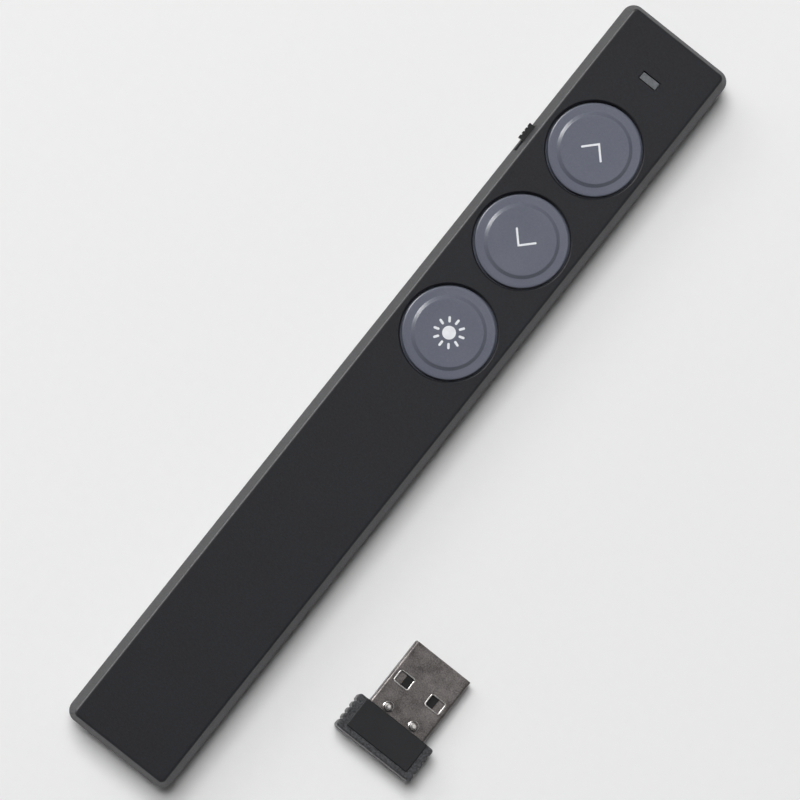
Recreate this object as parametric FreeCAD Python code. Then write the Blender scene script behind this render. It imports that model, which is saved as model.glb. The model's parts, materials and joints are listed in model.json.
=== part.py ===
import FreeCAD, Part
import math
import os

# Wireless presentation clicker with its USB receiver lying beside it.
# Millimetres. The origin is the middle of the flat underside, +Y runs to the nose, +X to the
# right seen from above, +Z up out of the buttons.

V = FreeCAD.Vector
os.makedirs("parts", exist_ok=True)

# Case
case_length = 159.4
case_width = 22.4
case_height = 13.6
cover_height = 6.0
corner_radius = 2.2
cover_lean = 1.35
base_lean = 0.35
top_edge_round = 0.5
base_edge_round = 1.4
wall = 1.3
roof = 1.6
floor = 1.4
lip_height = 0.8
lip_thickness = 0.5
lip_gap = 0.1
rib_thickness = 1.0
floor_rib_height = 2.6
floor_rib_count = 4

# Buttons
button_names = ["next", "back", "laser"]
next_button_from_nose = 25.3
button_pitch = 20.35
rim_land = 0.55
cap_gap = 0.35
hole_edge_chamfer = 0.25
ring_proud = 0.15
ring_edge_round = 0.3
ring_width = 1.65
disc_height = 0.5
disc_bevel = 0.4
cap_wall = 1.2
cap_skin = 1.15
cap_flange = 0.9
cap_flange_reach = 0.25
cap_tab_width = 5.0
cap_tab_gap = 0.75
cap_play = 0.1
cap_post_radius = 1.4
cap_rib = 0.8
cap_rib_height = 1.1
button_travel = 0.3

# Circuit board and the tact switch under each button
board_lift = 0.4
board_thickness = 1.0
board_side_gap = 1.4
board_corner = 1.0
board_nose_gap = 3.2
board_behind_button = 13.3
board_tail_gap = 2.8
tact_size = 5.2
tact_base_height = 1.1
tact_cover_sheet = 0.2
tact_floor = 0.3
tact_pocket_radius = 2.2
tact_plunger_radius = 1.2
tact_plunger_gap = 0.1
tact_flange_radius = 1.8
tact_flange_height = 0.33
tact_height = 1.9
tact_lead_width = 0.5
tact_lead_reach = 0.7
tact_side_length = 4.0
tact_side_lift = 0.2
dome_radius = 1.9
dome_rise = 0.28
dome_sheet = 0.08

# Screws
board_screw_radius = 0.5
board_screw_tip_gap = 0.6
board_head_radius = 1.25
board_head_height = 0.8
board_boss_radius = 1.5
board_screw_edge = 0.2
board_screw_setback = 4.0
case_screw_radius = 0.72
case_screw_tip_gap = 0.65
case_head_radius = 1.4
case_head_height = 1.0
case_head_lift = 0.4
case_column_gap = 0.1
case_screw_offset = 6.2
screw_gap = 0.03
screw_hole_gap = 0.2
slot_width = 0.4
slot_depth = 0.35
slot_share = 0.7

# Parts soldered under the board, and the antenna on it
chip_size = 5.0
chip_height = 0.9
chip_corner = 0.2
crystal_gap = 1.65
crystal_width = 2.5
crystal_length = 3.2
crystal_height = 0.8
crystal_corner = 0.4
coil_side = 5.0
coil_size = 4.0
coil_height = 1.9
coil_corner = 0.6
passive_side = 4.6
passive_length = 1.6
passive_width = 0.8
passive_start = 6.0
passive_pitch = 2.2
passive_count = 4
capacitor_height = 0.8
resistor_height = 0.45
antenna_line = 0.5
antenna_step = 1.2
antenna_turns = 7
antenna_sheet = 0.1
antenna_setback = 0.6
antenna_reach = 3.4
antenna_shift = 1.0

# Indicator light
led_from_nose = 9.9
led_size = 1.6
led_depth = 0.8
led_height = 0.8
lens_width = 3.4
lens_depth = 1.3
lens_sink = 0.25
lens_gap = 0.2
lens_flange = 0.7
lens_flange_reach = 0.9
lens_stem_shrink = 0.3
lens_stem_gap = 0.15

# Power switch on the left side
knob_from_nose = 29.9
knob_length = 3.2
knob_height = 1.6
knob_lift = 0.5
knob_proud = 0.55
knob_travel = 2.0
knob_gap = 0.1
knob_plate = 0.4
knob_plate_rise = 0.25
knob_plate_lap = 0.5
knob_plate_inset = 0.85
knob_rib = 0.35
fork_reach = 0.3
fork_lift = 0.1
lever_width = 1.3
lever_height = 0.5
lever_reach = 1.0
slide_body_length = 6.6
slide_body_depth = 2.6
slide_body_height = 1.4
slide_body_inset = 0.2

# Laser module in the nose
laser_top_gap = 0.1
laser_bottom_gap = 0.5
laser_length = 10.5
laser_nose_gap = 2.2
laser_barrel_wall = 0.8
laser_lens_thickness = 1.2
laser_lens_setback = 0.4
diode_can_gap = 0.7
diode_can_length = 3.0
diode_flange = 1.2
laser_board_thickness = 0.8
laser_board_margin = 0.3
window_top_gap = 0.4
window_thickness = 0.8
window_seat = 0.9
window_ledge = 0.4
fit_gap = 0.05
lead_radius = 0.3
lead_spacing = 1.8
cradle_side = 1.0
cradle_shares = (0.2, 0.8)
snap_side_gap = 1.2
snap_width = 2.4
snap_arm = 0.8
snap_wall_gap = 0.2
snap_rise = 0.3
snap_barb = 0.25
snap_barb_height = 0.4
snap_play = 0.1
snap_foot_drop = 2.5

# Battery, an AAA cell, and its contacts
nub_radius = 1.9
nub_length = 0.8
sleeve_thickness = 0.1
sleeve_end_gap = 0.6
battery_gap = 0.15
bay_side_gap = 0.4
contact_sheet = 0.4
contact_dimple = 0.5
contact_dimple_radius = 1.3
contact_half_width = 4.2
contact_tab = 0.8
contact_neck = 1.2
contact_shelf_gap = 0.2
contact_tab_gap = 0.1
spring_room = 2.6
spring_wire = 0.5
spring_turns = 3
spring_small_radius = 2.4
spring_large_radius = 3.7
battery_wire_radius = 0.45
battery_wire_gap = 0.1
battery_wire_sag = 0.25
battery_wire_end = 2.4

# Bays, and the sliding door that closes both
bay_wall = 1.0
bay_wall_rise = 0.5
bay_front_wall = 1.6
divider = 4.0
divider_drop = 0.2
tail_wall = 2.2
receiver_bay_gap = 0.3
shelf_thickness = 1.0
door_sheet = 1.2
door_gap = 0.15
door_front_overlap = 0.7
hook_side_gap = 0.45
hook_reach = 0.9
hook_runner = 1.2
hook_thickness = 0.95
slide_gap = 0.1
door_lip = 1.4
hook_setback = 1.0
hook_front_reach = 1.5
door_pad_height = 1.3
grip_count = 6
grip_pitch = 1.6
grip_width = 0.8
grip_depth = 0.3
grip_span = 10.0
grip_setback = 4.0
arrow_length = 4.0
arrow_width = 6.0

# Receiver
receiver_x = 35.4
receiver_tip_y = -32.05
plug_width = 12.0
plug_height = 4.5
plug_sheet = 0.3
plug_length = 13.4
plug_buried = 4.5
plug_corner = 0.5
hood_width = 16.4
hood_length = 7.1
hood_height = 7.0
hood_corner = 0.9
hood_wall = 0.8
hood_step = 0.25
hood_side_border = 1.5
hood_tail_border = 1.1
hood_edge_round = 0.2
hood_groove = 0.35
hood_groove_depth = 0.3
hood_groove_count = 4
window_width = 2.8
window_length = 2.1
window_pitch = 6.9
window_from_tip = 6.85
window_rim = 0.3
window_rim_depth = 0.12
dimple_radius = 0.95
dimple_pitch = 5.6
dimple_from_hood = 1.15
dimple_rise = 0.2
dimple_notch = 0.2
insulator_height = 1.9
insulator_gap = 0.1
insulator_waist = 3.7
insulator_waist_length = 4.4
insulator_tip_gap = 0.6
contact_strip_width = 1.0
contact_strip_sheet = 0.1
contact_strip_length = 8.0
contact_strip_setback = 0.8
contact_strip_places = [-3.5, -1.0, 1.0, 3.5]
stick_board_thickness = 0.8
stick_board_gap = 0.5
stick_board_inside = 2.2

# Places worked out from the sizes above
nose = case_length / 2
tail = -nose
half_width = case_width / 2
parting_height = case_height - cover_height
cover_underside = case_height - roof
cap_radius = half_width - cover_lean - top_edge_round - rim_land - hole_edge_chamfer - cap_gap
disc_radius = cap_radius - ring_width
hole_radius = cap_radius + cap_gap
cap_tab_reach = (button_pitch - cap_tab_gap) / 2
button_places = [nose - next_button_from_nose - i * button_pitch for i in range(len(button_names))]
board_width = 2 * (half_width - wall - board_side_gap)
board_low = parting_height + board_lift
board_top = board_low + board_thickness
board_front = nose - board_nose_gap
board_back = button_places[-1] - board_behind_button
plunger_top = board_top + tact_height
receiver_length = plug_length + hood_length
receiver_bay_back = tail + tail_wall
receiver_bay_front = receiver_bay_back + receiver_length + 2 * receiver_bay_gap
receiver_bay_half = hood_width / 2 + receiver_bay_gap
battery_bay_back = receiver_bay_front + divider
battery_back = battery_bay_back + contact_sheet + spring_room
front_wall_front = board_back - board_tail_gap
battery_bay_front = front_wall_front - bay_front_wall
battery_front = battery_bay_front - contact_sheet - contact_dimple
battery_radius = (cover_underside - door_sheet) / 2 - battery_gap
battery_bay_half = battery_radius + bay_side_gap
bay_wall_top = board_top + bay_wall_rise
battery_axis_height = door_sheet + battery_gap + battery_radius
hook_low = floor + slide_gap
hook_high = hook_low + hook_thickness
shelf_low = hook_high + slide_gap
shelf_high = shelf_low + shelf_thickness
door_front = battery_bay_front + door_front_overlap
hook_width = 2 * (half_width - base_lean - wall - hook_side_gap)
door_width = hook_width - 2 * hook_reach
hook_inner_width = door_width - 2 * hook_runner
ring_top = case_height + ring_proud
led_y = nose - led_from_nose
knob_y = nose - knob_from_nose
knob_middle = board_top + knob_lift
knob_plate_side = half_width - wall - knob_plate_inset
laser_radius = (board_low - laser_top_gap - floor - laser_bottom_gap) / 2
laser_axis_height = floor + laser_bottom_gap + laser_radius
laser_bore = laser_radius - laser_barrel_wall
diode_can_radius = laser_bore - diode_can_gap
laser_board_height = 2 * laser_bore
laser_board_width = 2 * (laser_bore + laser_board_margin)
window_radius = parting_height - laser_axis_height - window_top_gap
aperture_radius = window_radius - window_ledge
laser_front = nose - laser_nose_gap
laser_back = laser_front - laser_length
divider_y = (receiver_bay_front + battery_bay_back) / 2
column_top = board_top
case_head_low = shelf_low + case_head_lift
case_screw_length = cover_underside - case_screw_tip_gap - case_head_low - case_head_height
board_screw_length = cover_underside - board_screw_tip_gap - board_low
divider_top = parting_height - divider_drop
case_column_radius = divider / 2 - case_column_gap
snap_high = board_top + snap_rise


# Span of a given size about a middle
def about(middle, size):
    return (middle - size / 2, middle + size / 2)


# Box from its spans along X, Y and Z
def block(x, y, z):
    return Part.makeBox(x[1] - x[0], y[1] - y[0], z[1] - z[0], V(x[0], y[0], z[0]))


# Span on one side of the middle plane, from an inner to an outer distance
def side_span(side, inner, outer):
    return (inner, outer) if side > 0 else (-outer, -inner)


# Upright cylinder
def post(radius, z, x=0.0, y=0.0):
    return Part.makeCylinder(radius, z[1] - z[0], V(x, y, z[0]), V(0, 0, 1))


# Cylinder lying along Y
def rod(radius, y, x=0.0, z=0.0):
    return Part.makeCylinder(radius, y[1] - y[0], V(x, y[0], z), V(0, 1, 0))


# Joins shapes and gives back the one solid
def join(shapes):
    whole = shapes[0].fuse(shapes[1:]) if len(shapes) > 1 else shapes[0]
    whole = whole.removeSplitter()
    return whole.Solids[0] if len(whole.Solids) == 1 else whole


# Cuts tools out of a shape
def carve(shape, tools):
    left = shape.cut(tools)
    return left.Solids[0] if len(left.Solids) == 1 else left


# Edges that lie wholly at one height
def edges_at(shape, z):
    return [e for e in shape.Edges if all(abs(v.Z - z) < 1e-5 for v in e.Vertexes)]


# Upright edges
def upright_edges(shape):
    found = []
    for edge in shape.Edges:
        ends = [v.Point for v in edge.Vertexes]
        if len(ends) == 2 and math.hypot(ends[0].x - ends[1].x, ends[0].y - ends[1].y) < 1e-6:
            found.append(edge)
    return found


# Flat plate with rounded corners
def plate(x, y, z, radius):
    shape = block(x, y, z)
    return shape.makeFillet(radius, upright_edges(shape))


# Rounded rectangle at one height
def outline(half_x, half_y, radius, z):
    corners = [(1, 1, 0), (-1, 1, 90), (-1, -1, 180), (1, -1, 270)]
    ends = []
    edges = []
    for sign_x, sign_y, start in corners:
        middle = V(sign_x * (half_x - radius), sign_y * (half_y - radius), z)
        turn = [math.radians(start + step) for step in (0, 45, 90)]
        points = [middle + V(radius * math.cos(t), radius * math.sin(t), 0) for t in turn]
        if ends:
            edges.append(Part.LineSegment(ends[-1], points[0]).toShape())
        edges.append(Part.Arc(*points).toShape())
        ends += [points[0], points[-1]]
    edges.append(Part.LineSegment(ends[-1], ends[0]).toShape())
    return Part.Wire(edges)


# How far the case's sides lean in at a height
def lean_at(z):
    if z > parting_height:
        return cover_lean * (z - parting_height) / cover_height
    return base_lean * (parting_height - z) / parting_height


# The case's form between two heights on one side of the parting line, shrunk all round
def case_form(inset, z):
    sections = []
    for height in z:
        shrink = inset + lean_at(height)
        radius = max(corner_radius - shrink, 0.3)
        sections.append(outline(half_width - shrink, nose - shrink, radius, height))
    return Part.makeLoft(sections, True, True)


# Writes a node, as one solid or as a group of separate solids
def save(name, solids):
    shape = Part.makeCompound(solids) if isinstance(solids, list) else solids
    shape.exportStep("parts/" + name + ".step")


# Bottom half of the case's outer form, shared by the case and the door
def base_body():
    form = case_form(0, (0, parting_height))
    return form.makeFillet(base_edge_round, edges_at(form, 0))


# Places of the screws that hold the board to the cover
def board_screw_places():
    between = (button_places[-2] + button_places[-1]) / 2
    side = board_width / 2 - board_boss_radius - board_screw_edge
    return [(sign * side, y) for sign in (1, -1) for y in (board_front - board_screw_setback, between)]


def case_screw_places():
    return [(sign * case_screw_offset, divider_y) for sign in (1, -1)]


# Receiver bay's three ribs in the cover, which keep the receiver from rattling
def receiver_ribs():
    low = shelf_low + hood_height + receiver_bay_gap
    half = receiver_bay_half - 0.5
    step = (receiver_bay_front - receiver_bay_back) / 4
    ribs = []
    for i in (1, 2, 3):
        y = about(receiver_bay_back + i * step, rib_thickness)
        ribs.append(block((-half, half), y, (low, cover_underside + 0.1)))
    return ribs


# Slot in the left wall for the power knob, long enough for its travel
def knob_slot():
    y = (knob_y - knob_length / 2 - knob_travel - knob_gap, knob_y + knob_length / 2 + knob_gap)
    z = about(knob_middle, knob_height + 2 * knob_gap)
    return block((-half_width - 1, -half_width + 2 * wall), y, z)


def make_top_cover():
    form = case_form(0, (parting_height, case_height))
    form = form.makeFillet(top_edge_round, edges_at(form, case_height))
    hollow = case_form(wall, (parting_height, cover_underside))
    lip_top = parting_height + lip_height + lip_gap
    lip_room = case_form(wall - lip_thickness - lip_gap, (parting_height, lip_top))
    shell = carve(form, [hollow, lip_room])
    bosses = [post(board_boss_radius, (board_top, cover_underside + 0.1), x, y)
              for x, y in board_screw_places()]
    bosses += [post(case_column_radius, (column_top + fit_gap, cover_underside + 0.1), x, y)
               for x, y in case_screw_places()]
    shell = join([shell] + bosses + receiver_ribs())
    cuts = []
    for y in button_places:
        cuts.append(post(hole_radius, (cover_underside - 1, case_height + 1), 0, y))
        edge = Part.makeCone(hole_radius, hole_radius + 2 * hole_edge_chamfer, 2 * hole_edge_chamfer,
                             V(0, y, case_height - hole_edge_chamfer), V(0, 0, 1))
        cuts.append(edge)
    lens_x = about(0, lens_width + 2 * lens_gap)
    lens_y = about(led_y, lens_depth + 2 * lens_gap)
    cuts.append(block(lens_x, lens_y, (cover_underside - 1, case_height + 1)))
    cuts.append(knob_slot())
    for x, y in board_screw_places():
        cuts.append(post(board_screw_radius + screw_gap, (board_top - 1, cover_underside), x, y))
    for x, y in case_screw_places():
        cuts.append(post(case_screw_radius + screw_gap, (column_top - 1, cover_underside), x, y))
    cuts += snap_recesses()
    save("top_cover", carve(shell, cuts))


# Inner face of the cover's nose wall where the two snap hooks catch it
def snap_wall():
    return nose - wall - lean_at(snap_high)


# Two snap hooks at the nose that hold the halves together, and their recesses in the cover
def snap_hooks():
    front = snap_wall() - snap_wall_gap
    near = laser_radius + snap_side_gap
    hooks = []
    for side in (1, -1):
        x = side_span(side, near, near + snap_width)
        arm = block(x, (front - snap_arm, front), (floor, snap_high))
        foot = block(x, (front - snap_arm, nose - 0.6 * wall), (floor, parting_height - snap_foot_drop))
        barb_y = (front - snap_play, snap_wall() + snap_barb)
        barb = block(x, barb_y, (snap_high - snap_barb_height, snap_high))
        hooks += [arm, foot, barb]
    return hooks


def snap_recesses():
    near = laser_radius + snap_side_gap
    y = (snap_wall() - snap_wall_gap - snap_play, snap_wall() + snap_barb + snap_play)
    z = (snap_high - snap_barb_height - snap_play, snap_high + snap_play)
    cuts = []
    for side in (1, -1):
        cuts.append(block(side_span(side, near - snap_play, near + snap_width + snap_play), y, z))
    return cuts


# Floor ribs under the board, between the battery bay and the laser module
def floor_ribs():
    start = front_wall_front
    step = (laser_back - start) / (floor_rib_count + 1)
    half = half_width - wall / 2 - base_lean
    ribs = []
    for i in range(floor_rib_count):
        y = about(start + (i + 1) * step, rib_thickness)
        ribs.append(block((-half, half), y, (floor - 0.2, floor + floor_rib_height)))
    return ribs


# Two ribs with half-round seats that carry the laser barrel
def laser_cradles():
    half = laser_radius + cradle_side
    cradles = []
    for share in cradle_shares:
        y = about(laser_back + share * laser_length, rib_thickness)
        rib = block((-half, half), y, (floor - 0.2, laser_axis_height))
        seat = rod(laser_radius + fit_gap, (y[0] - 1, y[1] + 1), 0, laser_axis_height)
        cradles.append(rib.cut(seat))
    return cradles


# Walls and shelves of the two bays
def bay_walls():
    reach = half_width - wall / 2 - base_lean
    pieces = []
    for side in (1, -1):
        x = side_span(side, battery_bay_half, reach)
        pieces.append(block(x, (battery_bay_back, front_wall_front), (shelf_low, shelf_high)))
        x = side_span(side, receiver_bay_half, reach)
        pieces.append(block(x, (receiver_bay_back, receiver_bay_front), (shelf_low, shelf_high)))
        x = side_span(side, battery_bay_half, battery_bay_half + bay_wall)
        pieces.append(block(x, (battery_bay_back, front_wall_front), (shelf_low, bay_wall_top)))
    front = (battery_bay_front, front_wall_front)
    pieces.append(block(about(0, 2 * (battery_bay_half + bay_wall)), front, (shelf_low, bay_wall_top)))
    pieces.append(block((-reach, reach), front, (shelf_low, divider_top)))
    back = (receiver_bay_front, battery_bay_back)
    pieces.append(block((-reach, reach), back, (shelf_low, divider_top)))
    columns = about(0, 2 * (case_screw_offset + case_column_radius))
    pieces.append(block(columns, back, (shelf_low, column_top)))
    end = (tail + 0.7 * wall, receiver_bay_back)
    pieces.append(block((-reach + 0.2, reach - 0.2), end, (shelf_low, divider_top)))
    for x, y in case_screw_places():
        pieces.append(post(case_column_radius, (shelf_low, column_top), x, y))
    return pieces


def make_bottom_case():
    hollow = case_form(wall, (floor, parting_height))
    shell = carve(base_body(), [hollow])
    lip_z = (parting_height, parting_height + lip_height)
    lip = case_form(wall - lip_thickness, lip_z).cut(case_form(wall, lip_z))
    root = case_form(wall - lip_thickness, (parting_height - 0.3, parting_height))
    root = root.cut(case_form(wall, (parting_height - 0.3, parting_height)))
    shell = join([shell, root, lip] + bay_walls() + floor_ribs() + laser_cradles() + snap_hooks())
    opening_half = door_width / 2 + door_gap
    channel_half = hook_width / 2 + door_gap
    cuts = [block((-opening_half, opening_half), (tail - 1, door_front + door_gap), (-1, floor + 0.01))]
    cuts.append(block((-channel_half, channel_half), (tail - 1, receiver_bay_back), (floor, shelf_low)))
    laser_z = laser_axis_height
    seat_y = nose - lean_at(laser_z) - window_seat
    cuts.append(rod(aperture_radius, (seat_y - 1, nose + 1), 0, laser_z))
    cuts.append(rod(window_radius + fit_gap, (seat_y - 2, seat_y), 0, laser_z))
    head_top = case_head_low + case_head_height
    for x, y in case_screw_places():
        cuts.append(post(case_head_radius + screw_hole_gap, (floor, head_top), x, y))
        cuts.append(post(case_screw_radius + screw_hole_gap, (floor, column_top + 1), x, y))
    save("bottom_case", carve(shell, cuts))


# Grip grooves and an arrow pressed into the door's outer face
def door_grip():
    first = door_front - grip_setback
    cuts = []
    for i in range(grip_count):
        y = about(first - i * grip_pitch, grip_width)
        cuts.append(block(about(0, grip_span), y, (-1, grip_depth)))
    base = first - grip_count * grip_pitch
    points = [V(-arrow_width / 2, base, -1), V(arrow_width / 2, base, -1), V(0, base - arrow_length, -1)]
    face = Part.Face(Part.makePolygon(points + points[:1]))
    cuts.append(face.extrude(V(0, 0, 1 + grip_depth)))
    return cuts


def make_battery_door():
    half = door_width / 2
    hook_half = hook_width / 2
    inner = hook_inner_width / 2
    hook_z = (hook_low, hook_high)
    pieces = [block((-half, half), (tail - 1, door_front), (-1, door_sheet))]
    for side in (1, -1):
        y = (tail - 1, door_front - hook_setback)
        pieces.append(block(side_span(side, inner, half), y, (door_sheet - 0.1, hook_high)))
        y = (tail - 1, door_front + hook_front_reach)
        pieces.append(block(side_span(side, inner, hook_half), y, hook_z))
    lip = (tail - 1, tail + door_lip)
    pieces.append(block((-half, half), lip, (0, hook_high)))
    pieces.append(block((-hook_half, hook_half), lip, hook_z))
    pad_top = door_sheet + door_pad_height - slide_gap
    for share in (0.25, 0.75):
        middle = receiver_bay_back + share * (receiver_bay_front - receiver_bay_back)
        pieces.append(block((-inner, inner), about(middle, rib_thickness), (door_sheet - 0.1, pad_top)))
    door = join(pieces).common(base_body())
    save("battery_door", carve(door, door_grip()))


# One button cap: a lower ring, a raised disc, a retaining flange and a post over its switch
def make_button_cap(name, y):
    flange_top = cover_underside - cap_play
    flange_z = (flange_top - cap_flange, flange_top)
    ring = post(cap_radius, (flange_z[0], ring_top), 0, y)
    ring = ring.makeFillet(ring_edge_round, edges_at(ring, ring_top))
    disc = Part.makeCone(disc_radius, disc_radius - disc_bevel, disc_height, V(0, y, ring_top), V(0, 0, 1))
    flange = post(hole_radius + cap_flange_reach, flange_z, 0, y)
    tabs = block(about(0, cap_tab_width), about(y, 2 * cap_tab_reach), flange_z)
    hollow = post(cap_radius - cap_wall, (flange_z[0] - 1, ring_top - cap_skin), 0, y)
    body = carve(join([ring, disc, flange, tabs]), [hollow])
    span = 2 * cap_radius - cap_wall
    skin_low = ring_top - cap_skin
    rib_z = (skin_low - cap_rib_height, skin_low + 0.1)
    ribs = [block(about(0, span), about(y, cap_rib), rib_z), block(about(0, cap_rib), about(y, span), rib_z)]
    stem = post(cap_post_radius, (plunger_top, ring_top - cap_skin + 0.1), 0, y)
    save(name + "_button_cap", join([body, stem] + ribs))


# One low tact switch: base with pocket, metal cover, plunger and snap dome
def make_tact_switch(name, y):
    square = (about(0, tact_size), about(y, tact_size))
    base_top = board_top + tact_base_height
    pocket_floor = board_top + tact_floor
    base = block(square[0], square[1], (board_top, base_top))
    base = carve(base, [post(tact_pocket_radius, (pocket_floor, base_top + 1), 0, y)])
    save(name + "_switch_base", base)
    cover_top = base_top + tact_cover_sheet
    lid = block(square[0], square[1], (base_top, cover_top))
    sides = []
    for side in (1, -1):
        edge = side_span(side, tact_size / 2, tact_size / 2 + tact_cover_sheet)
        side_y = (y + edge[0], y + edge[1])
        sides.append(block(about(0, tact_side_length), side_y, (board_top + tact_side_lift, cover_top)))
    lid = join([lid] + sides)
    hole = post(tact_plunger_radius + tact_plunger_gap, (base_top - 1, cover_top + 1), 0, y)
    save(name + "_switch_cover", carve(lid, [hole]))
    flange_low = pocket_floor + button_travel + fit_gap
    flange = post(tact_flange_radius, (flange_low, flange_low + tact_flange_height), 0, y)
    stem = post(tact_plunger_radius, (flange_low, plunger_top), 0, y)
    save(name + "_switch_plunger", join([flange, stem]))
    save(name + "_switch_dome", snap_dome(y, pocket_floor))


# Thin spherical cap that lies in the switch's pocket
def snap_dome(y, z):
    curve = (dome_radius ** 2 + dome_rise ** 2) / (2 * dome_rise)
    middle = V(0, y, z + dome_rise - curve)
    outer = Part.makeSphere(curve, middle)
    inner = Part.makeSphere(curve - dome_sheet, middle)
    slab = post(dome_radius, (z, z + 1), 0, y)
    return carve(outer.common(slab), [inner])


# Four short leads beside each tact switch
def make_switch_leads():
    leads = []
    z = (board_top, board_top + tact_lead_width / 2)
    for y in button_places:
        for side in (1, -1):
            for end in (1, -1):
                x = side_span(side, tact_size / 2, tact_size / 2 + tact_lead_reach)
                place = y + end * (tact_size / 2 - tact_lead_width)
                leads.append(block(x, about(place, tact_lead_width), z))
    save("switch_leads", leads)


def make_circuit_board():
    board = plate(about(0, board_width), (board_back, board_front), (board_low, board_top), board_corner)
    holes = [post(board_screw_radius + screw_hole_gap, (board_low - 1, board_top + 1), x, y)
             for x, y in board_screw_places()]
    save("circuit_board", carve(board, holes))


# Parts soldered under the board, placed between the driving places above, and the light on it
def make_board_parts():
    chip_y = (button_places[0] + button_places[1]) / 2
    chip_z = (board_low - chip_height, board_low)
    save("radio_chip", plate(about(0, chip_size), about(chip_y, chip_size), chip_z, chip_corner))
    crystal_x = about(chip_size / 2 + crystal_gap + crystal_width / 2, crystal_width)
    crystal_z = (board_low - crystal_height, board_low)
    save("board_crystal", plate(crystal_x, about(chip_y, crystal_length), crystal_z, crystal_corner))
    coil_y = about(button_places[-1], coil_size)
    coil_z = (board_low - coil_height, board_low)
    save("boost_inductor", plate(about(-coil_side, coil_size), coil_y, coil_z, coil_corner))
    save("chip_capacitors", passives(passive_side, chip_y, capacitor_height))
    save("chip_resistors", passives(-passive_side, chip_y, resistor_height))
    save("antenna_trace", antenna_meander())
    led = block(about(0, led_size), about(led_y, led_depth), (board_top, board_top + led_height))
    save("indicator_led", led)


# Row of small soldered blocks under the board
def passives(x, chip_y, height):
    row = []
    for i in range(passive_count):
        y = about(chip_y - passive_start - i * passive_pitch, passive_width)
        row.append(block(about(x, passive_length), y, (board_low - height, board_low)))
    return row


# Copper meander of the radio antenna near the board's back edge
def antenna_meander():
    back = board_back + antenna_setback
    front = back + antenna_reach
    z = (board_top, board_top + antenna_sheet)
    start = -antenna_turns * antenna_step / 2 - antenna_shift
    pieces = []
    for i in range(antenna_turns + 1):
        x = start + i * antenna_step
        pieces.append(block((x, x + antenna_line), (back, front), z))
        if i < antenna_turns:
            end = front - antenna_line if i % 2 == 0 else back
            pieces.append(block((x, x + antenna_step + antenna_line), (end, end + antenna_line), z))
    return join(pieces)


def make_light_window():
    lens_z = (cover_underside - lens_flange / 2, case_height - lens_sink)
    lens = block(about(0, lens_width), about(led_y, lens_depth), lens_z)
    reach = 2 * lens_flange_reach
    flange = block(about(0, lens_width + reach), about(led_y, lens_depth + reach),
                   (cover_underside - lens_flange, cover_underside))
    stem_z = (board_top + led_height + lens_stem_gap, cover_underside - lens_flange / 2)
    shrink = 2 * lens_stem_shrink
    stem = block(about(0, lens_width - shrink), about(led_y, lens_depth - shrink / 2), stem_z)
    save("light_window", join([lens, flange, stem]))


# Power knob: a ribbed thumb piece outside, a plate inside that hides the slot, and a fork
def make_power_slider():
    plate_x = (-knob_plate_side, -knob_plate_side + knob_plate)
    reach = knob_length + 2 * (knob_travel + knob_plate_lap)
    guard = block(plate_x, about(knob_y, reach), about(knob_middle, knob_height + 2 * knob_plate_rise))
    knob_x = (-half_width - knob_proud, plate_x[1])
    knob = block(knob_x, about(knob_y, knob_length), about(knob_middle, knob_height))
    grooves = []
    for i in (-1, 0, 1):
        x = (knob_x[0] - 1, knob_x[0] + knob_rib / 2)
        y = about(knob_y + i * knob_length / 4, knob_rib)
        grooves.append(block(x, y, about(knob_middle, knob_height + 1)))
    prongs = []
    for side in (1, -1):
        inner = lever_width / 2 + knob_gap / 2
        span = side_span(side, inner, inner + knob_rib)
        prong_x = (plate_x[1] - 0.1, plate_x[1] + fork_reach)
        prong_y = (knob_y + span[0], knob_y + span[1])
        prongs.append(block(prong_x, prong_y, about(knob_middle + fork_lift, knob_height / 2)))
    save("power_slider", carve(join([guard, knob] + prongs), grooves))


def make_slide_switch():
    outer = -board_width / 2 + slide_body_inset
    middle_y = knob_y - knob_travel / 2
    body_z = (board_top, board_top + slide_body_height)
    body = block((outer, outer + slide_body_depth), about(middle_y, slide_body_length), body_z)
    lever_z = about(board_top + slide_body_height / 2, lever_height)
    room_y = about(middle_y, lever_width + knob_travel + 2 * knob_gap)
    room_z = (lever_z[0] - knob_gap, lever_z[1] + knob_gap)
    body = carve(body, [block((outer - 1, outer + lever_reach + knob_gap), room_y, room_z)])
    save("slide_switch_body", body)
    plate_face = -knob_plate_side + knob_plate
    lever_x = (plate_face + fit_gap, outer + lever_reach)
    save("slide_switch_lever", block(lever_x, about(knob_y, lever_width), lever_z))


def make_laser_module():
    z = laser_axis_height
    barrel = rod(laser_radius, (laser_back, laser_front), 0, z)
    bore = rod(laser_bore, (laser_back - 1, laser_front + 1), 0, z)
    save("laser_barrel", carve(barrel, [bore]))
    lens_front = laser_front - laser_lens_setback
    lens = rod(laser_bore - fit_gap, (lens_front - laser_lens_thickness, lens_front), 0, z)
    save("laser_lens", lens)
    flange = rod(laser_bore - fit_gap, (laser_back, laser_back + diode_flange), 0, z)
    can = rod(diode_can_radius, (laser_back, laser_back + diode_flange + diode_can_length), 0, z)
    save("laser_diode", join([flange, can]))
    card_y = (laser_back - laser_board_thickness, laser_back)
    card = block(about(0, laser_board_width), card_y, about(z, laser_board_height))
    save("laser_board", card)
    seat_y = nose - lean_at(z) - window_seat
    save("laser_window", rod(window_radius, (seat_y - window_thickness, seat_y), 0, z))


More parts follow.
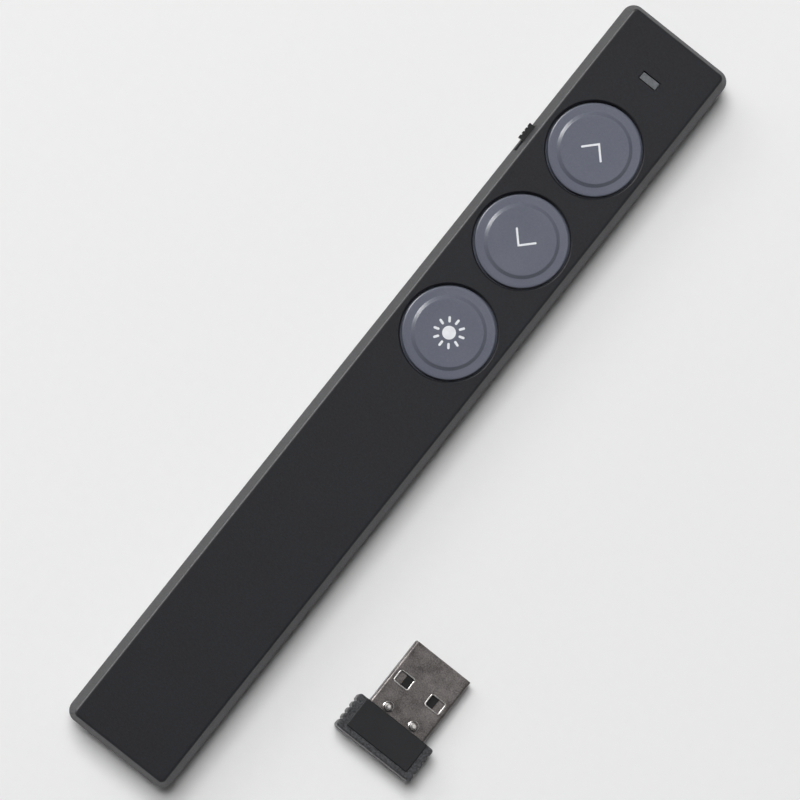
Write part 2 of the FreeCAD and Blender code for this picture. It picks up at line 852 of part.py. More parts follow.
# Tube of one radius along straight runs joined by tangent arcs
def wire_tube(points, radius):
    ends = [points[0]]
    edges = []
    for i in range(1, len(points) - 1):
        back = points[i - 1] - points[i]
        ahead = points[i + 1] - points[i]
        reach = 0.45 * min(back.Length, ahead.Length)
        back.normalize()
        ahead.normalize()
        turn = math.pi - back.getAngle(ahead)
        bend = reach / math.tan(turn / 2)
        inward = back + ahead
        inward.normalize()
        middle = points[i] + inward * (bend / math.cos(turn / 2) - bend)
        start = points[i] + back * reach
        end = points[i] + ahead * reach
        edges.append(Part.LineSegment(ends[-1], start).toShape())
        edges.append(Part.Arc(start, middle, end).toShape())
        ends.append(end)
    edges.append(Part.LineSegment(ends[-1], points[-1]).toShape())
    path = Part.Wire(edges)
    profile = Part.Wire(Part.Circle(points[0], points[1] - points[0], radius).toShape())
    return path.makePipeShell([profile], True, False).Solids[0]


# Two leads from the laser's card up to the board
def make_laser_leads():
    leads = []
    start_y = laser_back - laser_board_thickness
    for side in (1, -1):
        x = side * lead_spacing / 2
        low = laser_axis_height
        drop = board_low - low
        points = [V(x, start_y, low), V(x, start_y - drop, low), V(x, start_y - drop, board_low)]
        leads.append(wire_tube(points, lead_radius))
    save("laser_leads", leads)


def make_battery():
    z = battery_axis_height
    body = (battery_back, battery_front - nub_length)
    can = rod(battery_radius - sleeve_thickness, body, 0, z)
    nub = rod(nub_radius, (body[1] - 0.1, battery_front), 0, z)
    save("battery_cell", join([can, nub]))
    sleeve_y = (body[0] + sleeve_end_gap, body[1] - sleeve_end_gap)
    sleeve = rod(battery_radius, sleeve_y, 0, z)
    inside = rod(battery_radius - sleeve_thickness, (sleeve_y[0] - 1, sleeve_y[1] + 1), 0, z)
    sleeve = carve(sleeve, [inside])
    save("battery_sleeve", sleeve)


# Contact plate with a solder tab that reaches over the bay's wall on one side
def contact_plate(y, side):
    low = shelf_high + contact_shelf_gap
    tab_low = bay_wall_top + contact_tab_gap
    sheet = block(about(0, 2 * contact_half_width), y, (low, bay_wall_top - contact_tab_gap))
    neck_x = contact_half_width - contact_neck
    neck = block(side_span(side, neck_x, contact_half_width), y, (low, tab_low + contact_tab))
    arm_x = side_span(side, neck_x, tab_side() + battery_wire_radius)
    arm = block(arm_x, y, (tab_low, tab_low + contact_tab))
    return [sheet, neck, arm]


# Distance of the solder tabs from the middle plane
def tab_side():
    return battery_bay_half + bay_wall + battery_wire_radius + battery_wire_gap


def make_battery_contacts():
    z = battery_axis_height
    plus_y = (battery_bay_front - contact_sheet, battery_bay_front)
    dimple = rod(contact_dimple_radius, (battery_front, plus_y[0] + 0.1), 0, z)
    save("battery_positive_plate", join(contact_plate(plus_y, -1) + [dimple]))
    minus_y = (battery_bay_back, battery_bay_back + contact_sheet)
    save("battery_spring_plate", join(contact_plate(minus_y, 1)))
    save("battery_spring", battery_spring(minus_y[1]))


# Conical spring, wide at its plate and narrow at the cell
def battery_spring(plate_face):
    rise = spring_room - spring_wire
    widening = spring_large_radius - spring_small_radius
    slant = math.hypot(rise, widening)
    lean = math.degrees(math.atan(widening / rise))
    coil = Part.makeHelix(slant / spring_turns, slant, spring_small_radius, lean)
    profile = Part.Circle(V(spring_small_radius, 0, 0), V(0, 1, 0), spring_wire / 2)
    profile = Part.Wire(profile.toShape())
    spring = Part.Wire(coil.Edges).makePipeShell([profile], True, True)
    spring = spring.Solids[0] if spring.Solids else Part.Solid(spring.Shells[0])
    spring.rotate(V(0, 0, 0), V(1, 0, 0), 90)
    spring.translate(V(0, plate_face + rise + spring_wire / 2, battery_axis_height))
    return spring


# Leads from the two contacts, along the outside of the bay's walls, to the board
def make_battery_leads():
    z = bay_wall_top + contact_tab_gap + contact_tab / 2
    x = tab_side()
    sag = battery_wire_sag
    end = board_back + battery_wire_end
    pad = board_top + battery_wire_radius
    start = battery_bay_back + contact_sheet + fit_gap
    span = board_back - start
    stops = [0.0, 0.25, 0.5, 0.75, 0.97]
    points = []
    for i, share in enumerate(stops):
        points.append(V(x + (sag if i % 2 else 0), start + share * span, z))
    points.append(V(x - sag, end, pad))
    minus = wire_tube(points, battery_wire_radius)
    start = battery_bay_front
    points = [V(-x, start, z), V(-x, (start + board_back) / 2, z), V(-x + sag, end, pad)]
    plus = wire_tube(points, battery_wire_radius)
    save("battery_leads", [minus, plus])


# Pan-headed screw pointing up, with a cross slot in its head
def screw(x, y, head_low, head, shank):
    head_radius, head_height = head
    radius, length = shank
    top = head_low + head_height
    body = join([post(head_radius, (head_low, top), x, y), post(radius, (top - 0.1, top + length), x, y)])
    slots = []
    for turn in (0, 90):
        z = (head_low - 1, head_low + slot_depth)
        slot = block(about(x, 2 * slot_share * head_radius), about(y, slot_width), z)
        slot.rotate(V(x, y, 0), V(0, 0, 1), turn)
        slots.append(slot)
    return carve(body, slots)


def make_screws():
    head = (board_head_radius, board_head_height)
    shank = (board_screw_radius, board_screw_length)
    low = board_low - board_head_height
    save("board_screws", [screw(x, y, low, head, shank) for x, y in board_screw_places()])
    head = (case_head_radius, case_head_height)
    shank = (case_screw_radius, case_screw_length)
    save("case_screws", [screw(x, y, case_head_low, head, shank) for x, y in case_screw_places()])


# The receiver is drawn level, plug along +Y, then tipped to lie on its plug's tip
hood_front = receiver_tip_y - plug_length
hood_back = hood_front - hood_length
plug_middle = hood_height / 2
plug_low = plug_middle - plug_height / 2
plug_back = hood_front - plug_buried
plug_inner_low = plug_low + plug_sheet
stick_board_width = plug_width - 2 * (plug_sheet + stick_board_gap)
insulator_top = plug_inner_low + insulator_gap + insulator_height
tip_angle = math.degrees(math.asin(plug_low / math.hypot(plug_length, plug_low)))


# Tips a receiver shape about the hood's lower front edge, and puts it in its place
def settle(shape):
    shape.rotate(V(0, hood_front, 0), V(1, 0, 0), -tip_angle)
    shape.translate(V(receiver_x, 0, 0))
    return shape


def save_receiver(name, solids):
    group = solids if isinstance(solids, list) else [solids]
    placed = [settle(shape) for shape in group]
    save(name, placed if len(placed) > 1 else placed[0])


# Block whose four long edges along Y are rounded
def rounded_bar(x, y, z, radius):
    bar = block(x, y, z)
    along = [e for e in bar.Edges if abs(e.Vertexes[0].Y - e.Vertexes[1].Y) > 1e-6]
    return bar.makeFillet(radius, along)


# Stamped steel shell of the plug, with two windows on each broad side and two round dimples
def make_receiver_shell():
    x = about(0, plug_width)
    z = (plug_low, plug_low + plug_height)
    outer = rounded_bar(x, (plug_back, receiver_tip_y), z, plug_corner)
    inner_x = about(0, plug_width - 2 * plug_sheet)
    inner_z = (z[0] + plug_sheet, z[1] - plug_sheet)
    inner = rounded_bar(inner_x, (plug_back - 1, receiver_tip_y + 1), inner_z, plug_corner - plug_sheet)
    bumps = []
    cuts = [inner]
    window_y = receiver_tip_y - window_from_tip
    dimple_y = hood_front + dimple_from_hood
    for side in (1, -1):
        middle = side * window_pitch / 2
        for face, outward in ((z[1], 1), (z[0], -1)):
            through = side_span(outward, -plug_sheet * 2, 1)
            cuts.append(block(about(middle, window_width), about(window_y, window_length),
                              (face + through[0], face + through[1])))
            rim = side_span(outward, -window_rim_depth, 1)
            cuts.append(plate(about(middle, window_width + 2 * window_rim),
                              about(window_y, window_length + 2 * window_rim),
                              (face + rim[0], face + rim[1]), window_rim))
        middle = side * dimple_pitch / 2
        foot = V(middle, dimple_y, z[1])
        bumps.append(Part.makeCone(dimple_radius, dimple_radius - dimple_rise, dimple_rise, foot))
        ring = post(dimple_radius + dimple_notch, (z[1] - plug_sheet / 2, z[1] + 1), middle, dimple_y)
        ring = ring.cut(post(dimple_radius, (z[1] - 1, z[1] + 2), middle, dimple_y))
        half = block((middle, middle + 2), (dimple_y - 2, dimple_y + 2), (z[1] - 1, z[1] + 1))
        cuts.append(ring.common(half))
    shell = carve(join([outer] + bumps), cuts)
    save_receiver("receiver_shell", shell)


# Moulded tongue inside the plug, with a waist under the windows, and its four contacts
def make_receiver_tongue():
    half = plug_width / 2 - plug_sheet - insulator_gap
    low = plug_inner_low + insulator_gap
    front = receiver_tip_y - insulator_tip_gap
    back = plug_back + stick_board_inside + insulator_gap
    tongue = block((-half, half), (back, front), (low, insulator_top))
    waist_y = about(receiver_tip_y - window_from_tip, insulator_waist_length)
    notches = [block(side_span(side, insulator_waist, half + 1), waist_y, (low - 1, insulator_top + 1))
               for side in (1, -1)]
    save_receiver("receiver_insulator", carve(tongue, notches))
    strips = []
    y = (front - contact_strip_setback - contact_strip_length, front - contact_strip_setback)
    strip_z = (insulator_top, insulator_top + contact_strip_sheet)
    for x in contact_strip_places:
        strips.append(block(about(x, contact_strip_width), y, strip_z))
    save_receiver("receiver_contacts", strips)


def make_receiver_hood():
    half = hood_width / 2
    y = (hood_back, hood_front)
    z = (0, hood_height)
    body = plate((-half, half), y, (hood_step, hood_height - hood_step), hood_corner)
    panel_half = half - hood_side_border
    panel_y = (hood_back + hood_tail_border, hood_front)
    panel = block((-panel_half, panel_half), panel_y, z)
    panel = panel.makeFillet(hood_edge_round, edges_at(panel, 0) + edges_at(panel, hood_height))
    hood = join([body, panel])
    collar = block(about(0, plug_width + 2 * fit_gap), (plug_back, hood_front + 1),
                   (plug_low - fit_gap, plug_low + plug_height + fit_gap))
    room_y = (hood_back + hood_wall, plug_back + 0.1)
    room = block(about(0, plug_width), room_y, (plug_low, plug_low + plug_height))
    cuts = [collar, room]
    step = (hood_length - 2 * hood_corner) / hood_groove_count
    for side in (1, -1):
        for i in range(hood_groove_count):
            middle = hood_back + hood_corner + (i + 0.5) * step
            x = side_span(side, half - hood_groove_depth, half + 1)
            cuts.append(block(x, about(middle, hood_groove), (-1, hood_height + 1)))
    line_y = about(hood_back + hood_tail_border / 2, hood_groove / 2)
    for face in (hood_step, hood_height - hood_step):
        cuts.append(block((-panel_half, panel_half), line_y, about(face, hood_groove_depth)))
    save_receiver("receiver_hood", carve(hood, cuts))


# The receiver's own board with its chip and crystal, inside the hood and the plug's back end
def make_receiver_board():
    low = plug_inner_low + insulator_gap
    top = low + stick_board_thickness
    y = (hood_back + hood_wall + fit_gap, plug_back + stick_board_inside)
    save_receiver("receiver_board", block(about(0, stick_board_width), y, (low, top)))
    chip_y = (y[0] + y[1]) / 2
    save_receiver("receiver_chip", block(about(-1.6, 3.0), about(chip_y, 3.0), (top, top + 0.8)))
    save_receiver("receiver_crystal", block(about(2.8, 2.5), about(chip_y, 2.0), (top, top + 0.7)))


make_top_cover()
make_bottom_case()
make_battery_door()
for button, place in zip(button_names, button_places):
    make_button_cap(button, place)
    make_tact_switch(button, place)
make_switch_leads()
make_circuit_board()
make_board_parts()
make_light_window()
make_power_slider()
make_slide_switch()
make_laser_module()
make_laser_leads()
make_battery()
make_battery_contacts()
make_battery_leads()
make_screws()
make_receiver_shell()
make_receiver_tongue()
make_receiver_hood()
make_receiver_board()
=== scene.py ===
import bmesh
import bpy
import json
import math
from mathutils import Euler, Matrix, Vector

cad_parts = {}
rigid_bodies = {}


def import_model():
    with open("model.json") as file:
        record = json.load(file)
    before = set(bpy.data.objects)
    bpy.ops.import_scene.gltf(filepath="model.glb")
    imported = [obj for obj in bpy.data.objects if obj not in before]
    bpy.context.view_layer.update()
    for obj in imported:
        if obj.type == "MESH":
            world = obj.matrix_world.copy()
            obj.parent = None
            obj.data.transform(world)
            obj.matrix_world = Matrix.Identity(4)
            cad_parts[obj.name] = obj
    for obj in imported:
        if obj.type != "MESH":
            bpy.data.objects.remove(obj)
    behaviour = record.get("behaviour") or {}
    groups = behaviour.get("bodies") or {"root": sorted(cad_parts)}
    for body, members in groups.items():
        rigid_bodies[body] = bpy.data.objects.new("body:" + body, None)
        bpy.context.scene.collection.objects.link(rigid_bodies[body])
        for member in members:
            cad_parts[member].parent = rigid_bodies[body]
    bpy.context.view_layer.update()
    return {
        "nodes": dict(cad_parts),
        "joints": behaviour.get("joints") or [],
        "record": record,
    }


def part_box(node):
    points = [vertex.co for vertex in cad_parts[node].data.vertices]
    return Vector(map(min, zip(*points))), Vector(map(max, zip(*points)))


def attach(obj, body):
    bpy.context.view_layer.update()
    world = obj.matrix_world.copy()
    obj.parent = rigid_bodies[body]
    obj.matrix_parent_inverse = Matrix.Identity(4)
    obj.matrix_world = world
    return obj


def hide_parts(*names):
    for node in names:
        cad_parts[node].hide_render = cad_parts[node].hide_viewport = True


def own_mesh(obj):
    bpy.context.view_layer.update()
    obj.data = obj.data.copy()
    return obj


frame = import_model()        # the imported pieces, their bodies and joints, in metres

mm = 0.001  # one millimetre in metres
mergeReach = 0.0005 * mm  # points closer than this become one
nodes = frame["nodes"]
print("frame loaded:", len(nodes), "pieces")


# sRGB hex code to the linear colour that shaders take
def linearColour(code):
    parts = [int(code[i:i + 2], 16) / 255 for i in (1, 3, 5)]
    return [v / 12.92 if v <= 0.04045 else ((v + 0.055) / 1.055) ** 2.4 for v in parts] + [1.0]


# Adds one node: settings are its own fields, inputs are values or other nodes' outputs
def addNode(tree, kind, inputs=None, **settings):
    node = tree.nodes.new("ShaderNode" + kind)
    for name, value in settings.items():
        setattr(node, name, value)
    for name, value in (inputs or {}).items():
        if isinstance(value, bpy.types.NodeSocket):
            tree.links.new(value, node.inputs[name])
        else:
            node.inputs[name].default_value = value
    return node


# Empty material with its node tree, surface shader and object coordinates
def startMaterial(name, shaderInputs):
    material = bpy.data.materials.new(name)
    material.use_nodes = True
    tree = material.node_tree
    tree.nodes.clear()
    shader = addNode(tree, "BsdfPrincipled", shaderInputs)
    addNode(tree, "OutputMaterial", {"Surface": shader.outputs["BSDF"]})
    place = addNode(tree, "TexCoord").outputs["Object"]
    return material, tree, shader, place


# Noise whose blobs are about one size, given in mm; stretch draws it out along an axis
def grainNoise(tree, place, size, detail=2.0, stretch=(1, 1, 1)):
    spread = addNode(tree, "Mapping", {"Vector": place, "Scale": [s / (size * mm) for s in stretch]})
    noise = addNode(tree, "TexNoise", {"Vector": spread.outputs["Vector"], "Scale": 1.0,
                                       "Detail": detail, "Roughness": 0.55})
    return noise.outputs["Fac"]


# Brings a noise's useful middle span to the range asked for
def spanOf(tree, value, low, high, start=0.32, end=0.68):
    return addNode(tree, "MapRange", {"Value": value, "From Min": start, "From Max": end, "To Min": low,
                                      "To Max": high}).outputs["Result"]


# Mixes two colours by a value; a colour is a hex code or another mix
def mixColours(tree, value, first, second):
    ends = [linearColour(end) if isinstance(end, str) else end for end in (first, second)]
    mix = addNode(tree, "Mix", {0: value, 6: ends[0], 7: ends[1]}, data_type="RGBA")
    return mix.outputs[2]


# Gloss that follows a noise, from the look's roughest to its smoothest
def addGloss(tree, shader, value, look):
    rough = spanOf(tree, value, look["roughest"], look["smoothest"])
    tree.links.new(rough, shader.inputs["Roughness"])


# Relief that follows a noise, as deep as the look's grain
def addRelief(tree, shader, value, look):
    relief = addNode(tree, "Bump", {"Height": value, "Strength": look["relief"],
                                    "Distance": look["grainDepth"] * mm})
    tree.links.new(relief.outputs["Normal"], shader.inputs["Normal"])


# Moulded or painted plastic: a broad cloudiness with fine flecks in the colour, and the same fine
# grain in gloss and relief
def mouldedPlastic(name, look):
    material, tree, shader, place = startMaterial(name, {"IOR": look["ior"]})
    cloud = grainNoise(tree, place, look["cloudSize"])
    grain = grainNoise(tree, place, look["grainSize"], detail=3.0)
    tone = mixColours(tree, spanOf(tree, cloud, 0, 1), look["colour"], look["cloudColour"])
    flecks = spanOf(tree, grain, 0, look["fleckShare"])
    tree.links.new(mixColours(tree, flecks, tone, look["fleckColour"]), shader.inputs["Base Color"])
    addGloss(tree, shader, grain, look)
    addRelief(tree, shader, grain, look)
    return material


# Sheet, wire or turned metal: mottled tone, uneven gloss and a fine relief that can run one way
def workedMetal(name, look):
    material, tree, shader, place = startMaterial(name, {"Metallic": 1.0})
    cloud = grainNoise(tree, place, look["cloudSize"])
    grain = grainNoise(tree, place, look["grainSize"], 4.0, look.get("stretch", (1, 1, 1)))
    both = addNode(tree, "Math", {0: cloud, 1: grain}, operation="ADD").outputs[0]
    mottle = spanOf(tree, both, 0, 1, start=0.78, end=1.24)
    tree.links.new(mixColours(tree, mottle, look["dull"], look["bright"]), shader.inputs["Base Color"])
    addGloss(tree, shader, grain, look)
    addRelief(tree, shader, grain, look)
    return material


# See-through plastic: cloudy in tone and gloss, so it reads as frosted or tinted
def clearPlastic(name, look):
    material, tree, shader, place = startMaterial(name, {"IOR": look["ior"],
                                                         "Transmission Weight": look["clearness"]})
    cloud = grainNoise(tree, place, look["cloudSize"])
    tone = mixColours(tree, spanOf(tree, cloud, 0, 1), look["colour"], look["cloudColour"])
    tree.links.new(tone, shader.inputs["Base Color"])
    addGloss(tree, shader, grainNoise(tree, place, look["grainSize"]), look)
    return material


# Glass-fibre board under solder mask, with copper tracks that show as paler lines
def maskedBoard(name, look):
    material, tree, shader, place = startMaterial(name, {"IOR": look["ior"]})
    scale = 1 / (look["trackPitch"] * mm)
    spread = addNode(tree, "Mapping", {"Vector": place, "Scale": (scale, scale, scale)})
    tracks = addNode(tree, "TexBrick", {"Vector": spread.outputs["Vector"], "Scale": 1.0,
                                        "Mortar Size": look["trackShare"],
                                        "Brick Width": look["trackLength"],
                                        "Row Height": 1.0}).outputs["Fac"]
    tree.links.new(mixColours(tree, tracks, look["mask"], look["track"]), shader.inputs["Base Color"])
    addGloss(tree, shader, grainNoise(tree, place, look["weaveSize"]), look)
    addRelief(tree, shader, tracks, look)
    return material


# ABS from a spark-eroded mould. The satin grain keeps the top an even near-black and breaks the
# grazing light on the sloped sides into a speckle. Real grain is about 0.1 mm, drawn three times as
# coarse so that it shows.
coverAbs = {"colour": "#141419", "cloudColour": "#16171c", "fleckColour": "#1c1d23", "fleckShare": 0.5,
            "cloudSize": 14.0, "grainSize": 0.32, "grainDepth": 0.035, "relief": 0.6,
            "roughest": 0.62, "smoothest": 0.52, "ior": 1.5}
# The same ABS from a smoother mould half: a shade greyer and shinier below the parting line
caseAbs = {"colour": "#19191b", "cloudColour": "#1c1c1f", "fleckColour": "#232326", "fleckShare": 0.5,
           "cloudSize": 12.0, "grainSize": 0.35, "grainDepth": 0.025, "relief": 0.4,
           "roughest": 0.5, "smoothest": 0.4, "ior": 1.5}
# ABS with a sprayed slate-blue soft-feel coat: even, low gloss, with a faint orange peel
coatedCapAbs = {"colour": "#585c69", "cloudColour": "#5e616d", "fleckColour": "#6a6d79",
                "fleckShare": 0.35, "cloudSize": 9.0, "grainSize": 0.3, "grainDepth": 0.008,
                "relief": 0.3, "roughest": 0.4, "smoothest": 0.3, "ior": 1.5}
# POM thumb piece: slightly waxy black that shines where thumbs rub it
knobPom = {"colour": "#161617", "cloudColour": "#1b1b1c", "fleckColour": "#262628", "fleckShare": 0.4,
           "cloudSize": 3.0, "grainSize": 0.3, "grainDepth": 0.01, "relief": 0.3,
           "roughest": 0.5, "smoothest": 0.34, "ior": 1.48}
# Glass-filled nylon of small switches: dry black with pale fibre flecks
switchNylon = {"colour": "#101010", "cloudColour": "#151515", "fleckColour": "#3a3a3a",
               "fleckShare": 0.3, "cloudSize": 1.5, "grainSize": 0.2, "grainDepth": 0.01, "relief": 0.4,
               "roughest": 0.62, "smoothest": 0.5, "ior": 1.53}
# Moulded epoxy of chips and coils: dead matt black with a sandy skin
chipEpoxy = {"colour": "#141416", "cloudColour": "#1a1a1c", "fleckColour": "#2e2e31", "fleckShare": 0.4,
             "cloudSize": 1.2, "grainSize": 0.18, "grainDepth": 0.012, "relief": 0.5,
             "roughest": 0.72, "smoothest": 0.6, "ior": 1.55}
# Fired barium ceramic: tan, chalky, a little uneven from block to block
firedCeramic = {"colour": "#7d5f41", "cloudColour": "#9a7a56", "fleckColour": "#b39470",
                "fleckShare": 0.4, "cloudSize": 1.6, "grainSize": 0.15, "grainDepth": 0.006,
                "relief": 0.4, "roughest": 0.6, "smoothest": 0.45, "ior": 1.6}
# PVC lead insulation: dull red with a slight sheen along the wire
leadPvc = {"colour": "#7e1716", "cloudColour": "#8d1d1a", "fleckColour": "#a02a25", "fleckShare": 0.3,
           "cloudSize": 4.0, "grainSize": 0.25, "grainDepth": 0.006, "relief": 0.3,
           "roughest": 0.48, "smoothest": 0.36, "ior": 1.53}
# Shrunk PET sleeve of the cell: glossy blue-grey film with soft shrink wrinkles
cellPet = {"colour": "#31363f", "cloudColour": "#3b414c", "fleckColour": "#4a515e", "fleckShare": 0.2,
           "cloudSize": 7.0, "grainSize": 1.1, "grainDepth": 0.02, "relief": 0.3,
           "roughest": 0.26, "smoothest": 0.14, "ior": 1.57}
# ABS panel on the receiver's hood: plain, darker and a touch shinier than the bar
hoodAbs = {"colour": "#111214", "cloudColour": "#151618", "fleckColour": "#1c1d20", "fleckShare": 0.5,
           "cloudSize": 4.0, "grainSize": 0.28, "grainDepth": 0.012, "relief": 0.35,
           "roughest": 0.48, "smoothest": 0.36, "ior": 1.5}
# The same ABS round the hood, coarsely etched for grip, with every peak of the etch painted pale: a
# painted glint
hoodGripAbsPaintedGlint = {"colour": "#161718", "cloudColour": "#1c1d1e", "fleckColour": "#55565a",
               "fleckShare": 0.75, "cloudSize": 2.0, "grainSize": 0.34, "grainDepth": 0.05,
               "relief": 0.8, "roughest": 0.5, "smoothest": 0.34, "ior": 1.5}
# Black LCP tongue of the plug: flat black, almost no gloss
tongueLcp = {"colour": "#0c0c0c", "cloudColour": "#101010", "fleckColour": "#1d1d1d", "fleckShare": 0.4,
             "cloudSize": 2.0, "grainSize": 0.2, "grainDepth": 0.006, "relief": 0.3,
             "roughest": 0.62, "smoothest": 0.5, "ior": 1.5}
# Pad-printed epoxy ink: opaque cool white, slightly raised and uneven at its rim
padInk = {"colour": "#dfe1e5", "cloudColour": "#e9ebee", "fleckColour": "#dcdde2", "fleckShare": 0.3,
          "cloudSize": 1.0, "grainSize": 0.12, "grainDepth": 0.003, "relief": 0.3,
          "roughest": 0.6, "smoothest": 0.5, "ior": 1.5}

# Nickel-plated steel of the plug, tumbled dull: mottled warm grey with a salt-and-pepper sparkle
plugSteel = {"dull": "#5f5b5a", "bright": "#8f8a88", "cloudSize": 3.0, "grainSize": 0.22,
             "grainDepth": 0.012, "relief": 0.5, "roughest": 0.5, "smoothest": 0.3}
# The same steel painted pale on the rims and dimple tops: a painted highlight, as a lighter copy of the
# plug's steel
paintedHighlightSteel = {"dull": "#c9c6c3", "bright": "#f1efec", "cloudSize": 1.0, "grainSize": 0.2,
                  "grainDepth": 0.004, "relief": 0.3, "roughest": 0.4, "smoothest": 0.22}
# Tinned spring steel of switch covers and domes: cool and fairly bright, with rolling lines along Y
tinnedSteel = {"dull": "#9a9a9b", "bright": "#c9c9ca", "cloudSize": 2.0, "grainSize": 0.15,
               "grainDepth": 0.003, "relief": 0.3, "roughest": 0.42, "smoothest": 0.26,
               "stretch": (1, 0.1, 1)}
# Lead-free solder: rounded bright grey with a frosty skin
tinSolder = {"dull": "#9b9c9e", "bright": "#d4d5d6", "cloudSize": 0.6, "grainSize": 0.12,
             "grainDepth": 0.006, "relief": 0.5, "roughest": 0.46, "smoothest": 0.24}
# Drawn steel can of a crystal or a cell: smooth, with faint drawing lines
drawnCan = {"dull": "#b2b1ad", "bright": "#d9d8d4", "cloudSize": 1.4, "grainSize": 0.1,
            "grainDepth": 0.002, "relief": 0.3, "roughest": 0.34, "smoothest": 0.2,
            "stretch": (0.15, 1, 1)}
# Plated copper of the aerial: pinkish brown, hand-dulled
platedCopper = {"dull": "#a06a45", "bright": "#d39a6c", "cloudSize": 2.5, "grainSize": 0.15,
                "grainDepth": 0.003, "relief": 0.3, "roughest": 0.46, "smoothest": 0.3}
# Turned brass of the laser barrel: yellow, with fine tool lines round it
turnedBrass = {"dull": "#a88648", "bright": "#d9bb74", "cloudSize": 4.0, "grainSize": 0.12,
               "grainDepth": 0.006, "relief": 0.5, "roughest": 0.4, "smoothest": 0.22,
               "stretch": (0.1, 1, 0.1)}
# Zinc-plated screw steel: cool grey with a milky bloom
zincSteel = {"dull": "#85868a", "bright": "#b6b8bd", "cloudSize": 0.9, "grainSize": 0.15,
             "grainDepth": 0.005, "relief": 0.4, "roughest": 0.46, "smoothest": 0.3}
# Nickel-plated strip and spring wire of the battery contacts: warm bright grey, drawn lines along it
nickelStrip = {"dull": "#a5a29a", "bright": "#cfccc4", "cloudSize": 2.5, "grainSize": 0.12,
               "grainDepth": 0.003, "relief": 0.3, "roughest": 0.38, "smoothest": 0.22,
               "stretch": (0.2, 1, 1)}
# Hard gold flash on the plug's contacts: deep yellow with wiping marks along Y
goldFlash = {"dull": "#b08a3a", "bright": "#e0bd66", "cloudSize": 1.5, "grainSize": 0.1,
             "grainDepth": 0.002, "relief": 0.3, "roughest": 0.34, "smoothest": 0.18,
             "stretch": (1, 0.08, 1)}
# Frosted polycarbonate of the light window: milky grey while the light behind it is off
frostedPc = {"colour": "#4c5054", "cloudColour": "#666b70", "cloudSize": 0.7, "grainSize": 0.2,
             "roughest": 0.5, "smoothest": 0.3, "clearness": 0.25, "ior": 1.58}
# Red-tinted acrylic of the laser's lens and window: deep red, glossy
redAcrylic = {"colour": "#5a1517", "cloudColour": "#661a1c", "cloudSize": 2.0, "grainSize": 0.3,
              "roughest": 0.12, "smoothest": 0.05, "clearness": 0.7, "ior": 1.49}
# Green mask over copper tracks: glossy green with paler lines, a little duller over the glass weave
greenMask = {"mask": "#0e3a22", "track": "#1b5a35", "trackPitch": 1.3, "trackShare": 0.14,
             "trackLength": 3.0, "grainDepth": 0.03, "relief": 0.5, "weaveSize": 0.5,
             "roughest": 0.42, "smoothest": 0.28, "ior": 1.5}

# Finishes by the material slots of the record
finishes = {
    "cover_plastic": mouldedPlastic("satinMouldedAbs", coverAbs),
    "case_plastic": mouldedPlastic("roughMouldedAbs", caseAbs),
    "button_plastic": mouldedPlastic("softCoatedAbs", coatedCapAbs),
    "knob_plastic": mouldedPlastic("mouldedPom", knobPom),
    "switch_plastic": mouldedPlastic("filledNylon", switchNylon),
    "chip_plastic": mouldedPlastic("mouldedEpoxy", chipEpoxy),
    "ceramic": mouldedPlastic("firedCeramic", firedCeramic),
    "wire_jacket": mouldedPlastic("extrudedPvc", leadPvc),
    "cell_sleeve": mouldedPlastic("shrunkPet", cellPet),
    "hood_plastic": mouldedPlastic("texturedAbs", hoodAbs),
    "tongue_plastic": mouldedPlastic("mouldedLcp", tongueLcp),
    "plug_steel": workedMetal("tumbledNickelSteel", plugSteel),
    "switch_steel": workedMetal("tinnedSpringSteel", tinnedSteel),
    "solder": workedMetal("tinSolder", tinSolder),
    "crystal_steel": workedMetal("drawnSteelCan", drawnCan),
    "copper": workedMetal("platedCopper", platedCopper),
    "laser_brass": workedMetal("turnedBrass", turnedBrass),
    "screw_steel": workedMetal("zincPlatedSteel", zincSteel),
    "cell_steel": workedMetal("drawnCellSteel", drawnCan),
    "contact_nickel": workedMetal("nickelPlatedStrip", nickelStrip),
    "contact_gold": workedMetal("goldFlashedBronze", goldFlash),
    "clear_plastic": clearPlastic("frostedPolycarbonate", frostedPc),
    "laser_glass": clearPlastic("redAcrylic", redAcrylic),
    "board_laminate": maskedBoard("solderMaskedLaminate", greenMask),
}
# Finishes of scene pieces alone
inkFinish = mouldedPlastic("padPrintInk", padInk)
# Etched hood ABS whose peaks are painted pale as a painted glint
hoodGripPaintedGlintFinish = mouldedPlastic("coarseTexturedAbsPaintedGlint", hoodGripAbsPaintedGlint)
# Steel painted pale as a painted highlight, for the plug's window rims and dimples
paintedHighlightFinish = workedMetal("nickelSteelPaintedHighlight", paintedHighlightSteel)

# Each solid piece gets the finish of its slot
for part in frame["record"]["subparts"]:
    mesh = nodes[part["node"]].data
    mesh.materials.clear()
    mesh.materials.append(finishes[part["material_slot"]])
print("materials:", len(finishes) + 3)


# Object from points and faces, with its finish, riding on a body
def makePiece(name, points, faces, finish, body, smoothAngle=35):
    mesh = bpy.data.meshes.new(name)
    mesh.from_pydata([tuple(p) for p in points], [], faces)
    shape = bmesh.new()
    shape.from_mesh(mesh)
    bmesh.ops.remove_doubles(shape, verts=shape.verts, dist=mergeReach)
    bmesh.ops.recalc_face_normals(shape, faces=shape.faces)
    shape.to_mesh(mesh)
    shape.free()
    mesh.shade_smooth()
    mesh.set_sharp_from_angle(angle=math.radians(smoothAngle))
    mesh.materials.append(finish)
    piece = bpy.data.objects.new(name, mesh)
    bpy.context.scene.collection.objects.link(piece)
    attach(piece, body)
    return piece


